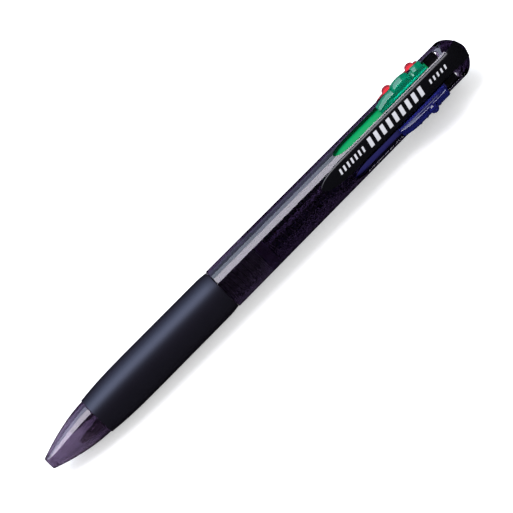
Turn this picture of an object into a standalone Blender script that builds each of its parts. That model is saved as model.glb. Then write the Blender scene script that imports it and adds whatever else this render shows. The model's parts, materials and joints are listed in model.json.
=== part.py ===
"""Four-colour slide pen, lying at rest on its grip, its clip and its lowest knob.

Every piece is modelled in the pen's own frame: +Z from the writing tip (z = 0) to the domed end,
+Y out of the flat front strip, -Y out of the pocket clip. The empty "pen_frame" then lays the
assembly down along world +X. Sizes are millimetres; MM turns them into metres.
"""
import math

import bmesh
import bpy
from mathutils import Matrix, Vector

MM = 0.001

# ---- clearances ------------------------------------------------------------------------------
GAP = 0.3                  # between pieces that touch or plug into one another
SLIDE_GAP = 0.2            # each side of a knob in its slot

# ---- refills ---------------------------------------------------------------------------------
TUBE_RADIUS = 1.15
TUBE_WALL = 0.3
POINT_REACH = 2.8          # how far the ball stands out of the tip when slid forward
POINT_LENGTH = 7.6         # ball end to the shoulder under the tube
POINT_PLUG = 3.0           # stretch pushed into the tube
POINT_TIP_RADIUS = 0.5
BALL_RADIUS = 0.32
BALL_SINK = 0.42           # depth of the open ball socket
TRAVEL = 12.0              # slide of each colour towards the tip

# ---- front barrel and grip -------------------------------------------------------------------
NOSE_LENGTH = 16.3
NOSE_TIP_RADIUS = 1.65
NOSE_RADIUS = 5.08
NOSE_POWER = 1.72          # fullness of the nose's curve
NOSE_WALL = 0.7
ORIFICE_RADIUS = 1.25
ORIFICE_LENGTH = 1.6
CORE_WALL = 0.55
GRIP_LENGTH = 42.9
GRIP_RADIUS = 6.0
GRIP_FRONT_DROP = 0.65     # how much slimmer the grip's front edge is
GRIP_SWELL = 15.0          # length over which it swells to full size
GRIP_SWELL_POWER = 2.8     # how late the swelling levels off
GRIP_REAR_DROP = 0.07
GRIP_TOUCH = 9.0           # where it meets a table, from its front edge
THREAD_LENGTH = 12.0
THREAD_PITCH = 1.5
THREAD_HEIGHT = 0.4
THREAD_LEAD = 0.6          # plain stretch past the last ridge

# ---- rear barrel -----------------------------------------------------------------------------
BARREL_LENGTH = 83.2
BARREL_WALL = 0.6
DOME_LENGTH = 4.6
DOME_POWER = 1.7
SLOT_LENGTH = 32.8
SLOT_TO_END = 8.5          # rear end of each slot to the top of the dome

# ---- sliders, knobs and core -----------------------------------------------------------------
SLIDER_WIDTH = 3.4
SLIDER_HEIGHT = 1.5        # radial thickness of the bar
SLIDER_LIFT = 0.55         # bar's inner face outside the refill circle
SLIDER_LAP = 4.7           # bar's length ahead of its slot
SLIDER_TAIL = 0.5          # bar's length behind its knob
FOOT_LEAD = 2.8            # foot's length ahead of the bar
FOOT_LENGTH = 4.3
SPIGOT_PLAY = 0.25
SPIGOT_LENGTH = 4.2
KNOB_LENGTH = 15.4
KNOB_WIDTH = 2.2
KNOB_FLAT = 7.1            # radius of a knob's plain top
KNOB_FRONT_HEIGHT = 6.1
KNOB_RAMP = 4.4
KNOB_BACKLASH = 2.0        # free slot behind a knob at rest
CORE_ROD_RADIUS = 1.2
CORE_RIB = 1.2
CORE_RIB_INSET = 0.5       # from the rod's ends
CORE_FRONT_GAP = 1.5       # behind the slider feet

# ---- spring seat and return springs ----------------------------------------------------------
SEAT_LENGTH = 2.7
SEAT_PLAY = 0.2            # between a seat hole and its tube
WIRE_RADIUS = 0.14
SPRING_TURNS = 9
SPRING_PLAY = 0.18         # between the wire and the tube inside it
SPRING_SPACING = 0.316     # between two neighbouring springs

# ---- pocket clip -----------------------------------------------------------------------------
CLIP_WIDTH = 4.0
CLIP_FACE = 8.8            # radius of the clip's flat outer face
CLIP_THICKNESS = 1.5
CLIP_NOSE = 2.0            # rounded front end ahead of the flat face
CLIP_LENGTH = 36.0
CLIP_FOOT_GAP = 0.4        # clip pad over the barrel
CLIP_ROOT_LENGTH = 6.4
CLIP_ROOT_WIDTH = 3.2
CLIP_SHOULDER = 0.4        # arm's base past each end of the root
CLIP_TO_END = 7.0          # rear of the clip's root to the top of the dome

# ---- how the round pieces are faceted --------------------------------------------------------
STEPS_LARGE = 40
STEPS_SMALL = 12
SPRING_POINTS = 8          # per turn
SLOT_END_POINTS = 6        # an even number keeps them off the barrel's own edges
HOLE_TURN = 7.0            # degrees, keeps the seat holes' corners off the seat's edges

# ---- places and fits worked out from the values above ----------------------------------------
SPRING_RADIUS = TUBE_RADIUS + SPRING_PLAY + WIRE_RADIUS
REFILL_ORBIT = math.sqrt(2) * (SPRING_RADIUS + WIRE_RADIUS + SPRING_SPACING / 2)
FRONT_BORE = REFILL_ORBIT + TUBE_RADIUS + GAP
GRIP_SEAT = FRONT_BORE + CORE_WALL
THREAD_ROOT = GRIP_SEAT + 0.05
THREAD_CREST = THREAD_ROOT + THREAD_HEIGHT
BARREL_THREAD_BORE = THREAD_CREST + GAP
BARREL_FRONT_RADIUS = BARREL_THREAD_BORE + BARREL_WALL
SLIDER_INNER = REFILL_ORBIT + SLIDER_LIFT
FOOT_RADIUS = SPRING_RADIUS
TUBE_BORE = TUBE_RADIUS - TUBE_WALL
SPIGOT_RADIUS = TUBE_BORE - SPIGOT_PLAY
SLIDER_OUTER = SLIDER_INNER + SLIDER_HEIGHT
BARREL_BORE = SLIDER_OUTER + GAP
BARREL_REAR_RADIUS = BARREL_BORE + BARREL_WALL

POINT_SETBACK = TRAVEL - POINT_REACH
GRIP_FRONT = NOSE_LENGTH + GAP
GRIP_REAR = GRIP_FRONT + GRIP_LENGTH
BARREL_FRONT = GRIP_REAR + GAP
PEN_LENGTH = BARREL_FRONT + BARREL_LENGTH
THREAD_END = BARREL_FRONT + THREAD_LENGTH
DOME_START = PEN_LENGTH - DOME_LENGTH
SEAT_FRONT = THREAD_END + GAP
SEAT_REAR = SEAT_FRONT + SEAT_LENGTH
SLOT_WIDTH = KNOB_WIDTH + 2 * SLIDE_GAP
SLOT_REAR = PEN_LENGTH - SLOT_TO_END
SLOT_FRONT = SLOT_REAR - SLOT_LENGTH
KNOB_REAR = SLOT_REAR - KNOB_BACKLASH
KNOB_FRONT = KNOB_REAR - KNOB_LENGTH
SLIDER_REAR = KNOB_REAR + SLIDER_TAIL
SLIDER_FRONT = SLOT_FRONT - SLIDER_LAP
FOOT_FRONT = SLIDER_FRONT - FOOT_LEAD
CORE_FRONT = FOOT_FRONT + FOOT_LENGTH + CORE_FRONT_GAP
CLIP_REAR = PEN_LENGTH - CLIP_TO_END
POINT_SHOULDER = POINT_SETBACK + POINT_LENGTH
TUBE_FRONT = POINT_SHOULDER + GAP
TUBE_REAR = FOOT_FRONT - GAP

# Each colour's direction round the pen, counted from +X towards +Y, the front strip being at 90.
COLOURS = {"green": 45, "blue": 135, "black": 225, "red": 315}
CLIP_ANGLE = 270

# Touch shapes: raised stretches of a knob's top as (start, end, peak radius), from its front end.
KNOB_BUMPS = {
    "green": [(5.5, 11.2, 8.3)],
    "blue": [(8.4, 11.3, 8.6)],
    "black": [(4.7, 6.3, 8.3), (6.9, 8.5, 8.3), (9.1, 10.7, 8.3), (11.3, 12.9, 8.3)],
    "red": [(3.9, 6.6, 8.3), (11.8, 14.3, 8.3)],
}
GREEN_SLIT = (11.4, 12.2, 6.4)     # start, end and floor radius of the cut behind green's arch
BUMP_POINTS = 7

PAINT = {
    "black": (0.02, 0.02, 0.025),
    "red": (0.8, 0.02, 0.03),
    "green": (0.01, 0.42, 0.12),
    "blue": (0.03, 0.05, 0.35),
}


# ---- helpers ---------------------------------------------------------------------------------
def collection(name):
    made = bpy.data.collections.new(name)
    bpy.context.scene.collection.children.link(made)
    return made


def material(name, colour, roughness, metallic=0.0, alpha=1.0):
    """A Principled material named for its piece."""
    made = bpy.data.materials.new(name)
    made.use_nodes = True
    shader = made.node_tree.nodes["Principled BSDF"]
    shader.inputs["Base Color"].default_value = (*colour, 1.0)
    shader.inputs["Roughness"].default_value = roughness
    shader.inputs["Metallic"].default_value = metallic
    shader.inputs["Alpha"].default_value = alpha
    return made


def outward(angle):
    """Unit vector out from the pen's axis at an angle in degrees."""
    return Vector((math.cos(math.radians(angle)), math.sin(math.radians(angle)), 0))


def place(obj, name, look, at=(0, 0, 0), turn=None):
    """Name an object, give it its material and stand it in the pen's frame."""
    obj.name = name
    obj.data.name = name
    obj.data.materials.clear()
    obj.data.materials.append(look)
    obj.parent = FRAME
    obj.location = Vector(at) * MM
    if turn is not None:
        obj.rotation_euler = turn.to_euler()
    for home in list(obj.users_collection):
        home.objects.unlink(obj)
    PARTS.objects.link(obj)
    return obj


def cutter(obj, name):
    """Set an object aside as a guide for Boolean modifiers."""
    obj.name = name
    obj.parent = FRAME
    obj.hide_render = True
    obj.display_type = "WIRE"
    for home in list(obj.users_collection):
        home.objects.unlink(obj)
    CUTTERS.objects.link(obj)
    return obj


def boolean(obj, other, operation):
    change = obj.modifiers.new(f"{operation.lower()}_{other.name}", "BOOLEAN")
    change.operation = operation
    change.solver = "EXACT"
    change.object = other


def turned(profile, steps, ring=True):
    """Solid of revolution about Z. The (radius, z) profile runs down its outer side, and a ring's
    runs back up its bore."""
    mesh = bpy.data.meshes.new("profile")
    count = len(profile)
    edges = [(i, i + 1) for i in range(count - 1)]
    if ring:
        edges.append((count - 1, 0))
    mesh.from_pydata([(r * MM, 0, z * MM) for r, z in profile], edges, [])
    obj = bpy.data.objects.new("turned", mesh)
    PARTS.objects.link(obj)
    screw = obj.modifiers.new("turn", "SCREW")
    screw.axis = "Z"
    screw.angle = math.tau
    screw.steps = steps
    screw.render_steps = steps
    screw.use_merge_vertices = True
    screw.merge_threshold = 0.00001
    screw.use_smooth_shade = True
    return obj


def rod(radius, low, high, steps=STEPS_SMALL):
    """Plain cylinder along Z between two heights."""
    return turned([(0, high), (radius, high), (radius, low), (0, low)], steps, ring=False)


def block(size, centre):
    """Box with its size applied to the mesh."""
    bpy.ops.mesh.primitive_cube_add(size=1)
    obj = bpy.context.object
    obj.data.transform(Matrix.Diagonal((*[s * MM for s in size], 1)))
    obj.data.transform(Matrix.Translation(Vector(centre) * MM))
    return obj


def radial_turn(angle):
    """Rotation that takes local X along the pen, local Y outward and local Z sideways."""
    out = outward(angle)
    along = Vector((0, 0, 1))
    return Matrix((along, out, along.cross(out))).transposed()


def flat_piece(outline, thickness):
    """Plate from a closed (along, outward) outline, as a welded mesh."""
    curve = bpy.data.curves.new("outline", "CURVE")
    curve.dimensions = "2D"
    curve.fill_mode = "BOTH"
    curve.extrude = thickness * MM / 2
    spline = curve.splines.new("POLY")
    spline.points.add(len(outline) - 1)
    for point, (along, out) in zip(spline.points, outline):
        point.co = (along * MM, out * MM, 0, 1)
    spline.use_cyclic_u = True
    drawn = bpy.data.objects.new("outline", curve)
    PARTS.objects.link(drawn)
    return as_mesh(drawn)


def as_mesh(drawn):
    """Replace a curve object by its welded mesh."""
    graph = bpy.context.evaluated_depsgraph_get()
    mesh = bpy.data.meshes.new_from_object(drawn.evaluated_get(graph))
    soft = bmesh.new()
    soft.from_mesh(mesh)
    bmesh.ops.remove_doubles(soft, verts=soft.verts, dist=0.000001)
    bmesh.ops.recalc_face_normals(soft, faces=soft.faces)
    soft.to_mesh(mesh)
    soft.free()
    obj = bpy.data.objects.new("plate", mesh)
    obj.matrix_world = drawn.matrix_world
    PARTS.objects.link(obj)
    bpy.data.objects.remove(drawn)
    return obj


# ---- front barrel and grip -------------------------------------------------------------------
def nose_radius(z):
    rise = 1 - (1 - min(z / NOSE_LENGTH, 1)) ** NOSE_POWER
    return NOSE_TIP_RADIUS + (NOSE_RADIUS - NOSE_TIP_RADIUS) * rise


def thread_profile():
    """Closed ridges at the thread's pitch, top to bottom."""
    first = THREAD_END - THREAD_LEAD
    count = int((THREAD_LENGTH - THREAD_LEAD - GAP) // THREAD_PITCH)
    points = []
    for ridge in range(count):
        top = first - ridge * THREAD_PITCH
        points.append((THREAD_ROOT, top))
        points.append((THREAD_CREST, top - THREAD_PITCH / 2))
    points.append((THREAD_ROOT, first - count * THREAD_PITCH))
    return points


def build_front_barrel():
    nose_steps = 7
    nose = [NOSE_LENGTH * (nose_steps - i) / nose_steps for i in range(nose_steps + 1)]
    outer = [(THREAD_ROOT, THREAD_END)] + thread_profile()
    outer += [(THREAD_ROOT, BARREL_FRONT), (GRIP_SEAT, BARREL_FRONT), (GRIP_SEAT, NOSE_LENGTH)]
    outer += [(nose_radius(z), z) for z in nose]
    inner = [(ORIFICE_RADIUS, 0), (ORIFICE_RADIUS, ORIFICE_LENGTH)]
    for z in reversed(nose):
        radius = nose_radius(z) - NOSE_WALL
        if z > ORIFICE_LENGTH and radius < FRONT_BORE:
            inner.append((radius, z))
    inner += [(FRONT_BORE, NOSE_LENGTH), (FRONT_BORE, THREAD_END)]
    smoke = material("front_barrel_smoke", (0.09, 0.075, 0.11), 0.12, alpha=0.6)
    place(turned(outer + inner, STEPS_LARGE), "front_barrel", smoke)


def grip_radius(z):
    forward = max(0, 1 - (z - GRIP_FRONT) / GRIP_SWELL)
    backward = max(0, (z - GRIP_FRONT - GRIP_SWELL) / (GRIP_LENGTH - GRIP_SWELL))
    return GRIP_RADIUS - GRIP_FRONT_DROP * forward ** GRIP_SWELL_POWER - GRIP_REAR_DROP * backward


def build_grip():
    stations = [0, 2, 5, GRIP_TOUCH, GRIP_SWELL, GRIP_LENGTH * 0.6, GRIP_LENGTH - 0.3]
    heights = [GRIP_FRONT + s for s in reversed(stations)]
    bore = GRIP_SEAT + GAP
    outer = [(grip_radius(GRIP_REAR) - 0.3, GRIP_REAR)] + [(grip_radius(z), z) for z in heights]
    inner = [(bore, GRIP_FRONT), (bore, GRIP_REAR)]
    rubber = material("grip_rubber", (0.03, 0.03, 0.05), 0.55)
    place(turned(outer + inner, STEPS_LARGE), "rubber_grip", rubber)


# ---- rear barrel -----------------------------------------------------------------------------
def barrel_radius(z):
    """Outer radius: a straight taper, then a dome."""
    share = min((z - BARREL_FRONT) / (DOME_START - BARREL_FRONT), 1)
    straight = BARREL_FRONT_RADIUS + (BARREL_REAR_RADIUS - BARREL_FRONT_RADIUS) * share
    if z <= DOME_START:
        return straight
    rise = min((z - DOME_START) / DOME_LENGTH, 1)
    return straight * (1 - rise ** DOME_POWER) ** (1 / DOME_POWER)


def build_rear_barrel():
    dome = [PEN_LENGTH - DOME_LENGTH * (1 - math.cos(math.radians(a))) for a in range(0, 91, 15)]
    outer = [(barrel_radius(z), z) for z in dome]
    outer += [(barrel_radius(BARREL_FRONT), BARREL_FRONT)]
    shrink = BARREL_BORE / BARREL_REAR_RADIUS
    roof = [(barrel_radius(z) * shrink, z - 2 * BARREL_WALL) for z in reversed(dome)]
    inner = [(BARREL_THREAD_BORE, BARREL_FRONT), (BARREL_THREAD_BORE, THREAD_END),
             (BARREL_BORE, THREAD_END)] + roof
    smoke = material("rear_barrel_smoke", (0.03, 0.025, 0.05), 0.08, alpha=0.55)
    barrel = place(turned(outer + inner, STEPS_LARGE, ring=False), "rear_barrel", smoke)
    for colour, angle in COLOURS.items():
        half = SLOT_WIDTH / 2
        ends = ((SLOT_REAR - half, -90), (SLOT_FRONT + half, 90))
        outline = []
        for centre, start in ends:
            for step in range(SLOT_END_POINTS):
                turn = math.radians(start + 180 * step / (SLOT_END_POINTS - 1))
                outline.append((centre + half * math.cos(turn), half * math.sin(turn)))
        tool = flat_piece(outline, 4 * BARREL_WALL)
        cutter(tool, f"{colour}_slot_tool")
        out = outward(angle)
        along = Vector((0, 0, 1))
        tool.rotation_euler = Matrix((along, out.cross(along), out)).transposed().to_euler()
        tool.location = out * (BARREL_BORE + BARREL_WALL / 2) * MM
        boolean(barrel, tool, "DIFFERENCE")
    hole = block((CLIP_ROOT_LENGTH + 2 * GAP, 4 * BARREL_WALL, CLIP_ROOT_WIDTH + 2 * GAP),
                 (CLIP_REAR - CLIP_ROOT_LENGTH / 2, BARREL_BORE + BARREL_WALL / 2, 0))
    cutter(hole, "clip_hole_tool")
    hole.rotation_euler = radial_turn(CLIP_ANGLE).to_euler()
    boolean(barrel, hole, "DIFFERENCE")


def build_clip():
    """Arm with an inward pad at its front end, and a narrower root through the barrel wall."""
    under = CLIP_FACE - CLIP_THICKNESS
    front = CLIP_REAR - CLIP_LENGTH
    pad = barrel_radius(front) + CLIP_FOOT_GAP
    neck = CLIP_REAR - CLIP_ROOT_LENGTH - CLIP_SHOULDER
    rear = CLIP_REAR + CLIP_SHOULDER
    outline = [
        (rear, barrel_radius(neck) + GAP), (rear + 0.5, under + 0.3), (rear - 0.6, CLIP_FACE),
        (front + CLIP_NOSE, CLIP_FACE), (front + 0.6, CLIP_FACE - 0.5), (front, CLIP_FACE - 1.4),
        (front + 0.3, pad + 1.0), (front + 1.6, pad), (front + 3.2, pad), (front + 6.0, under),
        (neck - 1.6, under), (neck, under - 0.6), (neck, barrel_radius(neck) + GAP),
    ]
    dark = material("clip_smoke", (0.03, 0.025, 0.05), 0.12, alpha=0.7)
    clip = place(flat_piece(outline, CLIP_WIDTH), "clip", dark, turn=radial_turn(CLIP_ANGLE))
    plug_low = BARREL_BORE + 0.1
    plug_high = under - 0.4
    plug = block((CLIP_ROOT_LENGTH, plug_high - plug_low, CLIP_ROOT_WIDTH),
                 (CLIP_REAR - CLIP_ROOT_LENGTH / 2, (plug_low + plug_high) / 2, 0))
    cutter(plug, "clip_root_tool")
    plug.rotation_euler = radial_turn(CLIP_ANGLE).to_euler()
    boolean(clip, plug, "UNION")


# ---- inside ----------------------------------------------------------------------------------
def build_spring_seat():
    pale = material("seat_plastic", (0.6, 0.55, 0.6), 0.4)
    radius = BARREL_BORE - GAP
    seat = place(rod(radius, SEAT_FRONT, SEAT_REAR, STEPS_LARGE), "spring_seat", pale)
    for colour, angle in COLOURS.items():
        hole = rod(TUBE_RADIUS + SEAT_PLAY, SEAT_FRONT - 1, SEAT_REAR + 1, 16)
        cutter(hole, f"{colour}_seat_hole_tool")
        hole.location = outward(angle) * REFILL_ORBIT * MM
        hole.rotation_euler.z = math.radians(HOLE_TURN)
        boolean(seat, hole, "DIFFERENCE")


def build_selector_core():
    """Rod with four ribs, one between each two sliders."""
    dark = material("core_plastic", (0.02, 0.018, 0.025), 0.45)
    rear = DOME_START - 2 * BARREL_WALL
    core = place(rod(CORE_ROD_RADIUS, CORE_FRONT, rear, 16), "selector_core", dark)
    reach = 2 * (BARREL_BORE - GAP)
    middle = (CORE_FRONT + rear) / 2
    length = rear - CORE_FRONT - 2 * CORE_RIB_INSET
    for name, size in (("across", (reach, CORE_RIB, length)), ("along", (CORE_RIB, reach, length))):
        rib = block(size, (0, 0, middle))
        cutter(rib, f"core_rib_{name}_tool")
        boolean(core, rib, "UNION")


def build_slider(colour, angle):
    """Bar with a rounded top under the slot, a foot over the refill and a spigot in its tube."""
    look = material(f"{colour}_slider_plastic", PAINT[colour], 0.35)
    stock = SLIDER_OUTER + GAP
    bar = block((SLIDER_REAR - SLIDER_FRONT, stock - SLIDER_INNER, SLIDER_WIDTH),
                ((SLIDER_FRONT + SLIDER_REAR) / 2, (SLIDER_INNER + stock) / 2, 0))
    place(bar, f"{colour}_slider", look, turn=radial_turn(angle))
    rounding = rod(SLIDER_OUTER, SLIDER_FRONT - 1, SLIDER_REAR + 1, STEPS_LARGE)
    cutter(rounding, f"{colour}_bar_tool")
    boolean(bar, rounding, "INTERSECT")
    spigot_front = FOOT_FRONT - SPIGOT_LENGTH
    foot = turned([
        (0, FOOT_FRONT + FOOT_LENGTH), (FOOT_RADIUS, FOOT_FRONT + FOOT_LENGTH),
        (FOOT_RADIUS, FOOT_FRONT), (SPIGOT_RADIUS, FOOT_FRONT),
        (SPIGOT_RADIUS, spigot_front + 0.4), (SPIGOT_RADIUS - 0.2, spigot_front),
        (0, spigot_front)], STEPS_SMALL, ring=False)
    cutter(foot, f"{colour}_foot_tool")
    foot.location = outward(angle) * REFILL_ORBIT * MM
    boolean(bar, foot, "UNION")


def knob_top(colour):
    """The knob's top edge as (distance from its front end, radius), front to back."""
    points = [(0, KNOB_FRONT_HEIGHT), (KNOB_RAMP / 2, KNOB_FLAT - 0.35)]
    if KNOB_BUMPS[colour][0][0] > KNOB_RAMP:
        points.append((KNOB_RAMP, KNOB_FLAT))
    for start, end, peak in KNOB_BUMPS[colour]:
        for step in range(BUMP_POINTS):
            turn = math.pi * step / (BUMP_POINTS - 1)
            along = start + (end - start) * (1 - math.cos(turn)) / 2
            points.append((along, KNOB_FLAT + (peak - KNOB_FLAT) * math.sin(turn)))
    if colour == "green":
        start, end, floor = GREEN_SLIT
        points += [(start, floor), (end, floor), (end + 0.1, KNOB_FLAT + 0.3)]
    points += [(KNOB_LENGTH - 0.6, KNOB_FLAT), (KNOB_LENGTH, KNOB_FLAT - 0.6)]
    return points


def build_knob(colour, angle):
    """Fin that stands on the slider bar and passes out through the slot."""
    root = SLIDER_OUTER + GAP
    outline = [(KNOB_REAR, root), (KNOB_FRONT, root)]
    outline += [(KNOB_FRONT + along, radius) for along, radius in knob_top(colour)]
    look = material(f"{colour}_knob_plastic", PAINT[colour], 0.15, alpha=0.8)
    place(flat_piece(outline, KNOB_WIDTH), f"{colour}_knob", look, turn=radial_turn(angle))


def build_spring(colour, angle):
    """Return spring between the seat and the slider's foot."""
    low = SEAT_REAR + GAP + WIRE_RADIUS
    high = FOOT_FRONT - GAP - WIRE_RADIUS
    total = SPRING_TURNS * SPRING_POINTS
    curve = bpy.data.curves.new("spring", "CURVE")
    curve.dimensions = "3D"
    curve.bevel_depth = WIRE_RADIUS * MM
    curve.bevel_resolution = 2
    curve.use_fill_caps = True
    spline = curve.splines.new("POLY")
    spline.points.add(total)
    for i, point in enumerate(spline.points):
        turn = math.tau * i / SPRING_POINTS
        x = SPRING_RADIUS * math.cos(turn)
        y = SPRING_RADIUS * math.sin(turn)
        z = low + (high - low) * i / total
        point.co = (x * MM, y * MM, z * MM, 1)
    steel = material(f"{colour}_spring_steel", (0.6, 0.6, 0.62), 0.3, metallic=1.0)
    drawn = bpy.data.objects.new("spring", curve)
    place(drawn, f"{colour}_spring", steel, outward(angle) * REFILL_ORBIT)


def build_refill(colour, angle):
    """Ink tube, the metal point plugged into it, and the point's ball."""
    at = outward(angle) * REFILL_ORBIT
    tube = turned([(TUBE_RADIUS, TUBE_REAR), (TUBE_RADIUS, TUBE_FRONT), (TUBE_BORE, TUBE_FRONT),
                   (TUBE_BORE, TUBE_REAR)], STEPS_SMALL)
    ink = material(f"{colour}_tube_plastic", PAINT[colour], 0.3, alpha=0.9)
    place(tube, f"{colour}_refill_tube", ink, at)

    tip = POINT_SETBACK + BALL_RADIUS * 0.6
    plug = TUBE_BORE - 0.15
    socket = BALL_RADIUS + 0.05
    nickel = material(f"{colour}_point_metal", (0.62, 0.58, 0.5), 0.25, metallic=1.0)
    point = turned([
        (0, POINT_SHOULDER + POINT_PLUG), (plug - 0.1, POINT_SHOULDER + POINT_PLUG),
        (plug, POINT_SHOULDER + POINT_PLUG - 0.4), (plug, POINT_SHOULDER),
        (TUBE_RADIUS, POINT_SHOULDER), (TUBE_RADIUS, tip + 5.6), (0.85, tip + 4.6),
        (0.8, tip + 2.4), (POINT_TIP_RADIUS, tip + 0.6), (socket + 0.06, tip), (socket, tip),
        (socket, tip + BALL_SINK), (0, tip + BALL_SINK + 0.15)], STEPS_SMALL, ring=False)
    place(point, f"{colour}_refill_point", nickel, at)

    bpy.ops.mesh.primitive_uv_sphere_add(segments=10, ring_count=6, radius=BALL_RADIUS * MM)
    steel = material(f"{colour}_ball_metal", (0.7, 0.7, 0.72), 0.1, metallic=1.0)
    place(bpy.context.object, f"{colour}_ball", steel, at + Vector((0, 0, POINT_SETBACK + BALL_RADIUS)))


# ---- the way it lies -------------------------------------------------------------------------
def resting_turn():
    """Rotation that rests the pen on its grip, its clip's front edge and the black knob.

    Seen along the pen, "down" points at the table, and a support's dot product with it is its
    height under the axis. On a level table these heights grow by one slope along the pen, which
    fixes both the roll and how far the nose drops.
    """
    clip = outward(CLIP_ANGLE) * CLIP_FACE - Vector((CLIP_WIDTH / 2, 0, 0))
    clip_z = CLIP_REAR - CLIP_LENGTH + CLIP_NOSE
    angle = COLOURS["black"]
    start, end, peak = KNOB_BUMPS["black"][0]
    knob = outward(angle) * peak + outward(angle + 90) * KNOB_WIDTH / 2
    knob_z = KNOB_FRONT + (start + end) / 2
    grip_z = GRIP_FRONT + GRIP_TOUCH
    line = knob - clip
    across = line.normalized()
    normal = across.cross(Vector((0, 0, 1)))
    if normal.dot(clip) < 0:
        normal.negate()
    slope = 0
    for _ in range(20):
        lean = math.asin((knob_z - clip_z) * slope / line.length)
        down = normal * math.cos(lean) + across * math.sin(lean)
        slope = (down.dot(clip) - grip_radius(grip_z)) / (clip_z - grip_z)
    roll = math.atan2(-down.x, -down.y)
    upright_to_lying = Matrix(((0, 0, 1), (1, 0, 0), (0, 1, 0)))
    nose_down = Matrix.Rotation(-math.atan(slope), 3, "Y")
    return nose_down @ Matrix.Rotation(roll, 3, "X") @ upright_to_lying


def settle():
    """Lay the pen down, then put the origin at the bottom centre of its bounding box."""
    FRAME.rotation_euler = resting_turn().to_euler()
    bpy.context.view_layer.update()
    graph = bpy.context.evaluated_depsgraph_get()
    corners = []
    for obj in PARTS.objects:
        shaped = obj.evaluated_get(graph)
        mesh = shaped.to_mesh()
        corners += [shaped.matrix_world @ vertex.co for vertex in mesh.vertices]
        shaped.to_mesh_clear()
    low = Vector([min(c[i] for c in corners) for i in range(3)])
    high = Vector([max(c[i] for c in corners) for i in range(3)])
    FRAME.location = Vector((-(low.x + high.x) / 2, -(low.y + high.y) / 2, -low.z))
    bpy.context.view_layer.update()


for old in list(bpy.data.objects):
    bpy.data.objects.remove(old)
PARTS = collection("four_colour_pen")
CUTTERS = collection("cutters")
FRAME = bpy.data.objects.new("pen_frame", None)
bpy.context.scene.collection.objects.link(FRAME)

build_front_barrel()
build_grip()
build_rear_barrel()
build_clip()
build_spring_seat()
build_selector_core()
for hue, direction in COLOURS.items():
    build_slider(hue, direction)
    build_knob(hue, direction)
    build_spring(hue, direction)
    build_refill(hue, direction)
settle()
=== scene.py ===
"""Looks for the four-colour slide pen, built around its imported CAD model.

Fine meshes are made in the pen's own frame, in millimetres: Z from the writing tip to the domed
end, Y out of the printed front strip, X towards the green and red side. PEN turns that frame into
the row frame. Its directions come from the joints and its sizes from the CAD nodes.
"""
import json
import math

import bmesh
import bpy
import numpy as np
from mathutils import Matrix, Vector


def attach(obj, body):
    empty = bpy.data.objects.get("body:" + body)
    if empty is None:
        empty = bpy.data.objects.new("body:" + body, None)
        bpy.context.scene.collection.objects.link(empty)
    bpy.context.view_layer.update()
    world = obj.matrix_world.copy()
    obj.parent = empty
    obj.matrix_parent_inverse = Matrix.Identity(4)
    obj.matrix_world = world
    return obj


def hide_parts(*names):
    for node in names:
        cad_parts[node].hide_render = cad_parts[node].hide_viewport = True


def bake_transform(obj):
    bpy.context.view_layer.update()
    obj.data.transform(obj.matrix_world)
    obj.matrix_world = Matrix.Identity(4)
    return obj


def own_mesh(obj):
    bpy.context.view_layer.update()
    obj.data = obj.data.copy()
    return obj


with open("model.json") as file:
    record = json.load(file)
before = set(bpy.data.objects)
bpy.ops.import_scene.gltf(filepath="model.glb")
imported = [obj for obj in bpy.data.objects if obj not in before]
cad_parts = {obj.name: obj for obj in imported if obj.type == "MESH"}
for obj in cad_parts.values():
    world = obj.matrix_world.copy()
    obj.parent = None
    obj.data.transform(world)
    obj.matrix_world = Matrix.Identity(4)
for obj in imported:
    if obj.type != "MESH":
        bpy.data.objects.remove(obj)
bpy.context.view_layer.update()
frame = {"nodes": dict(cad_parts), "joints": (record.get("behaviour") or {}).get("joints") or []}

MM = 0.001
FIT_GAP = 0.3              # the CAD's clearance between pieces that touch in the real pen
ORDER = ("black", "red", "green", "blue")
ANGLE = {"green": 45, "blue": 135, "black": 225, "red": 315}
STRIP_ANGLE = 90
CLIP_ANGLE = 270


# ---- the pen's frame -------------------------------------------------------------------------
def joint_axis(name):
    found = [joint for joint in frame["joints"] if joint["name"] == name]
    return Vector(found[0]["axis"])


ALONG = -joint_axis("green_slide")
OUT = {colour: -joint_axis(f"{colour}_steer") for colour in ORDER}
STRIP = (OUT["green"] + OUT["blue"]).normalized()
SIDE = (OUT["green"] + OUT["red"]).normalized()
TURN = Matrix((SIDE, STRIP, ALONG)).transposed()


def origin():
    """The writing tip's centre, in the row frame."""
    nose = frame["nodes"]["front_barrel"].data.vertices
    points = np.array([vertex.co for vertex in nose]) @ np.array(TURN)
    middle = (points.min(0) + points.max(0)) / 2
    return TURN @ Vector((middle[0], middle[1], points[:, 2].min()))


PEN = Matrix.Translation(origin()) @ TURN.to_4x4() @ Matrix.Scale(MM, 4)
UNPEN = PEN.inverted()


def outward(angle):
    return Vector((math.cos(math.radians(angle)), math.sin(math.radians(angle)), 0))


def facing(angle):
    """Rotation whose columns are across, outward and along, for one side of the pen."""
    out = outward(angle)
    along = Vector((0, 0, 1))
    return Matrix((out.cross(along), out, along)).transposed()


def node_points(node, angle=STRIP_ANGLE):
    """A node's vertices as (across, outward, along) millimetres, seen from one side of the pen."""
    points = np.array([UNPEN @ vertex.co for vertex in frame["nodes"][node].data.vertices])
    return points @ np.array(facing(angle))


def extent(node, angle=STRIP_ANGLE):
    """Lowest and highest (across, outward, along) of a node."""
    points = node_points(node, angle)
    return Vector(points.min(0)), Vector(points.max(0))


def radius_near(node, along, tolerance=0.3):
    """A round node's outer radius at one place along the pen."""
    points = node_points(node)
    near = points[abs(points[:, 2] - along) < tolerance]
    return float(np.hypot(near[:, 0], near[:, 1]).max())


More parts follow.
